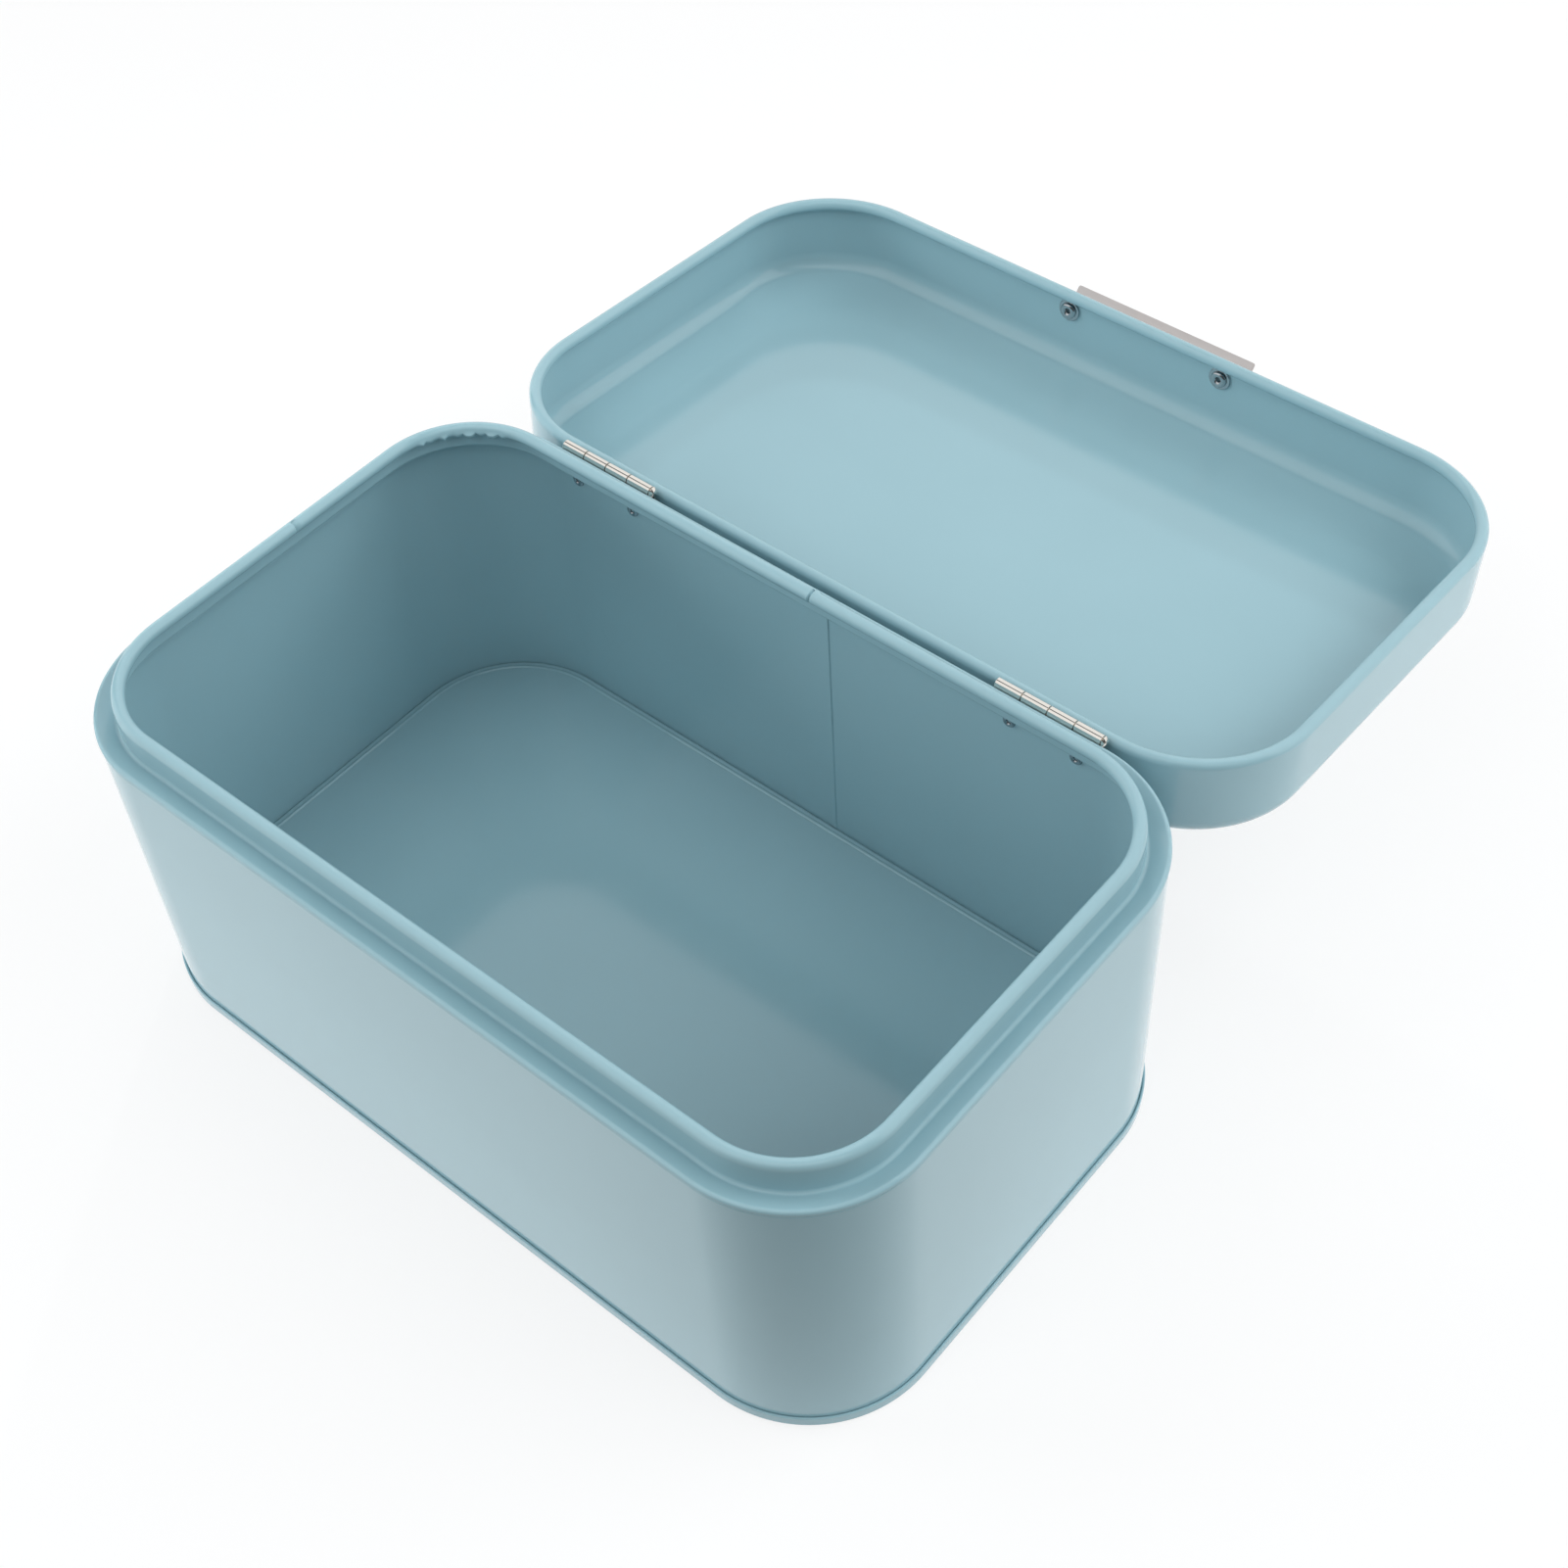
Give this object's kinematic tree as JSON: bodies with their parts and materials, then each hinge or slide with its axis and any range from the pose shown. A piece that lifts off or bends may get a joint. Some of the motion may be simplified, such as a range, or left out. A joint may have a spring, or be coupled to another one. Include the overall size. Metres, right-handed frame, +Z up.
{
  "type": "bread box",
  "caption": "Oblong enamelled sheet-steel bread box with rounded corners, a rolled rim, a hemmed base and a riveted lid that folds right back on butt hinges.",
  "frame": {"origin": "middle of the ring-shaped hem that the box stands on, level with the table", "axes": "+X along the box's length to the right of someone facing its front, +Y from the front to the hinges at the back, +Z up"},
  "size_m": [0.3068, 0.3838, 0.1279],
  "materials": {
    "duck_egg_enamel": "semi-gloss baked enamel",
    "satin_nickel": "satin nickel plate",
    "bright_nickel": "bright nickel plate",
    "rivet_steel": "plain zinc-plated steel"
  },
  "bodies": {
    "bin": {"body_wrap": "duck_egg_enamel", "bottom_panel": "duck_egg_enamel", "left_hinge_body_leaf": "bright_nickel", "left_hinge_pin": "bright_nickel", "left_body_rivet_1": "rivet_steel", "left_body_rivet_2": "rivet_steel", "right_hinge_body_leaf": "bright_nickel", "right_hinge_pin": "bright_nickel", "right_body_rivet_1": "rivet_steel", "right_body_rivet_2": "rivet_steel"},
    "lid": {"lid_shell": "duck_egg_enamel", "handle_plate": "satin_nickel", "handle_rivet_left": "rivet_steel", "handle_washer_left": "rivet_steel", "handle_rivet_right": "rivet_steel", "handle_washer_right": "rivet_steel", "left_hinge_lid_leaf": "bright_nickel", "left_lid_rivet_1": "rivet_steel", "left_lid_rivet_2": "rivet_steel", "right_hinge_lid_leaf": "bright_nickel", "right_lid_rivet_1": "rivet_steel", "right_lid_rivet_2": "rivet_steel"}
  },
  "joints": [
    {"name": "lid_hinge", "type": "hinge", "parent": "bin", "child": "lid", "pos_m": [0, 0.0942, 0.11774], "axis": [1, 0, 0], "range_deg": [0, 184.26]}
  ]
}
